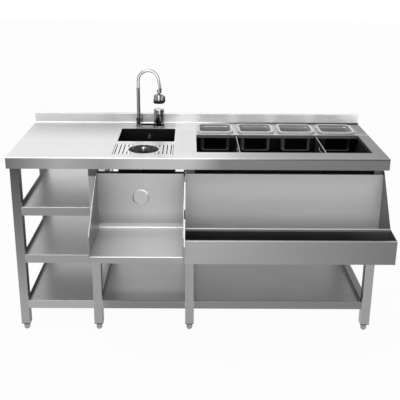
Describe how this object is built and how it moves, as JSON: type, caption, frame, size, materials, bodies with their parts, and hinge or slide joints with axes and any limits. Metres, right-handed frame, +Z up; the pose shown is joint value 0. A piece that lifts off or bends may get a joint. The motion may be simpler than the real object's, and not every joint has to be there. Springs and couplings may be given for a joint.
{
  "type": "bar sink with ice bin",
  "caption": "Free-standing stainless bar counter with a small sink and swivel spray tap, glass rinser, ice well with garnish pans, work recess, bottle rail and open shelves.",
  "frame": {"origin": "on the floor, below the middle of the counter's length and of its whole depth from the recess shelf's front lip to the upstand's back", "axes": "+X to the right along the counter as the user stands in front of it, +Y to the back, +Z up"},
  "size_m": [1.65, 0.95, 1.1376],
  "materials": {
    "steel": "brushed stainless sheet",
    "chrome": "polished chrome plating",
    "black_plastic": "moulded, satin",
    "white_plastic": "moulded",
    "brass": "turned",
    "galvanised": "zinc-coated sheet",
    "foam": "rigid foam board"
  },
  "bodies": {
    "counter": {"worktop": "steel", "worktop_channels": "steel", "top_rails": "steel", "legs": "steel", "leg_inserts": "black_plastic", "end_rail": "steel", "side_shelves": "steel", "lower_shelves": "steel", "sink_bowl": "steel", "sink_overflow": "chrome", "sink_waste": "chrome", "waste_nut": "black_plastic", "rinser_tray": "steel", "rinser_cup": "black_plastic", "rinser_spring": "chrome", "rinser_valve": "brass", "bin_liner": "steel", "bin_insulation": "foam", "bin_casing": "galvanised", "bin_drain": "chrome", "divider_guides": "steel", "recess_shell": "steel", "recess_cheeks": "steel", "bin_front_panel": "steel", "rail_side_plates": "steel", "bottle_rail": "steel", "panel_screws": "chrome", "mixer_body": "chrome", "mixer_cartridge": "white_plastic", "mixer_nut": "brass", "supply_tails": "chrome"},
    "basket": {"sink_basket": "chrome"},
    "grille": {"rinser_grille": "steel"},
    "star": {"rinser_star": "chrome"},
    "floor_plate": {"false_floor": "steel"},
    "divider_l": {"divider_left": "steel"},
    "divider_r": {"divider_right": "steel"},
    "port_cap": {"port_cover": "steel"},
    "hub": {"handle_hub": "chrome"},
    "lever": {"handle_lever": "chrome"},
    "arm": {"swing_arm": "chrome", "riser_valve": "chrome"},
    "quarter_lever": {"valve_lever": "chrome"},
    "spout": {"riser_pipe": "chrome", "gooseneck": "chrome", "neck_nut": "chrome"},
    "head": {"spray_head": "chrome"},
    "face_ring": {"spray_ring": "black_plastic"},
    "pan_body_1": {"pan_1": "steel"},
    "pan_body_2": {"pan_2": "steel"},
    "pan_body_3": {"pan_3": "steel"},
    "pan_body_4": {"pan_4": "steel"},
    "foot_body_1": {"foot_1": "chrome"},
    "foot_body_2": {"foot_2": "chrome"},
    "foot_body_3": {"foot_3": "chrome"},
    "foot_body_4": {"foot_4": "chrome"},
    "foot_body_5": {"foot_5": "chrome"},
    "foot_body_6": {"foot_6": "chrome"},
    "foot_body_7": {"foot_7": "chrome"},
    "foot_body_8": {"foot_8": "chrome"}
  },
  "joints": [
    {"name": "handle_turn", "type": "hinge", "parent": "counter", "child": "hub", "pos_m": [-0.191, 0.385, 0.916], "axis": [0, 0, 1], "range_deg": [-45, 45]},
    {"name": "handle_lift", "type": "hinge", "parent": "hub", "child": "lever", "pos_m": [-0.191, 0.385, 0.916], "axis": [-0.866, 0.5, 0], "range_deg": [0, 20]},
    {"name": "arm_swivel", "type": "hinge", "parent": "counter", "child": "arm", "pos_m": [-0.191, 0.385, 0.863], "axis": [0, 0, 1], "range_deg": [-25, 100]},
    {"name": "valve_turn", "type": "hinge", "parent": "arm", "child": "quarter_lever", "pos_m": [-0.276, 0.385, 0.88], "axis": [1, 0, 0], "range_deg": [0, 90]},
    {"name": "spout_swivel", "type": "hinge", "parent": "arm", "child": "spout", "pos_m": [-0.292, 0.385, 0.88], "axis": [0, 0, 1], "range_deg": [-150, 30]},
    {"name": "head_tilt", "type": "hinge", "parent": "spout", "child": "head", "pos_m": [-0.191, 0.385, 1.022], "axis": [0, 1, 0], "range_deg": [-20, 20]},
    {"name": "selector_turn", "type": "hinge", "parent": "head", "child": "face_ring", "pos_m": [-0.191, 0.385, 0.98], "axis": [0, 0, 1], "range_deg": [-60, 0]},
    {"name": "star_press", "type": "slide", "parent": "counter", "child": "star", "axis": [0, 0, -1], "range_m": [0, 0.008], "stiffness_N_per_m": 600, "springref_m": -0.012, "deforming": ["rinser_spring"]},
    {"name": "grille_lift", "type": "slide", "parent": "counter", "child": "grille", "axis": [0, 0, 1], "range_m": [0, 0.15]},
    {"name": "basket_lift", "type": "slide", "parent": "counter", "child": "basket", "axis": [0, 0, 1], "range_m": [0, 0.25]},
    {"name": "floor_lift", "type": "slide", "parent": "counter", "child": "floor_plate", "axis": [0, 0, 1], "range_m": [0, 0.015]},
    {"name": "divider_l_lift", "type": "slide", "parent": "counter", "child": "divider_l", "axis": [0, 0, 1], "range_m": [0, 0.07]},
    {"name": "divider_r_lift", "type": "slide", "parent": "counter", "child": "divider_r", "axis": [0, 0, 1], "range_m": [0, 0.07]},
    {"name": "port_cap_pull", "type": "slide", "parent": "counter", "child": "port_cap", "axis": [0, -1, 0], "range_m": [0, 0.06]},
    {"name": "pan_lift_1", "type": "slide", "parent": "counter", "child": "pan_body_1", "axis": [0, 0, 1], "range_m": [0, 0.2]},
    {"name": "pan_lift_2", "type": "slide", "parent": "counter", "child": "pan_body_2", "axis": [0, 0, 1], "range_m": [0, 0.2]},
    {"name": "pan_lift_3", "type": "slide", "parent": "counter", "child": "pan_body_3", "axis": [0, 0, 1], "range_m": [0, 0.2]},
    {"name": "pan_lift_4", "type": "slide", "parent": "counter", "child": "pan_body_4", "axis": [0, 0, 1], "range_m": [0, 0.2]},
    {"name": "foot_turn_1", "type": "hinge", "parent": "counter", "child": "foot_body_1", "pos_m": [-0.796, -0.13, 0.02], "axis": [0, 0, 1], "continuous": true},
    {"name": "foot_turn_2", "type": "hinge", "parent": "counter", "child": "foot_body_2", "pos_m": [-0.457, -0.13, 0.02], "axis": [0, 0, 1], "continuous": true},
    {"name": "foot_turn_3", "type": "hinge", "parent": "counter", "child": "foot_body_3", "pos_m": [-0.034, -0.13, 0.02], "axis": [0, 0, 1], "continuous": true},
    {"name": "foot_turn_4", "type": "hinge", "parent": "counter", "child": "foot_body_4", "pos_m": [0.787, -0.13, 0.02], "axis": [0, 0, 1], "continuous": true},
    {"name": "foot_turn_5", "type": "hinge", "parent": "counter", "child": "foot_body_5", "pos_m": [-0.796, 0.445, 0.02], "axis": [0, 0, 1], "continuous": true},
    {"name": "foot_turn_6", "type": "hinge", "parent": "counter", "child": "foot_body_6", "pos_m": [-0.457, 0.445, 0.02], "axis": [0, 0, 1], "continuous": true},
    {"name": "foot_turn_7", "type": "hinge", "parent": "counter", "child": "foot_body_7", "pos_m": [-0.034, 0.445, 0.02], "axis": [0, 0, 1], "continuous": true},
    {"name": "foot_turn_8", "type": "hinge", "parent": "counter", "child": "foot_body_8", "pos_m": [0.787, 0.445, 0.02], "axis": [0, 0, 1], "continuous": true}
  ]
}
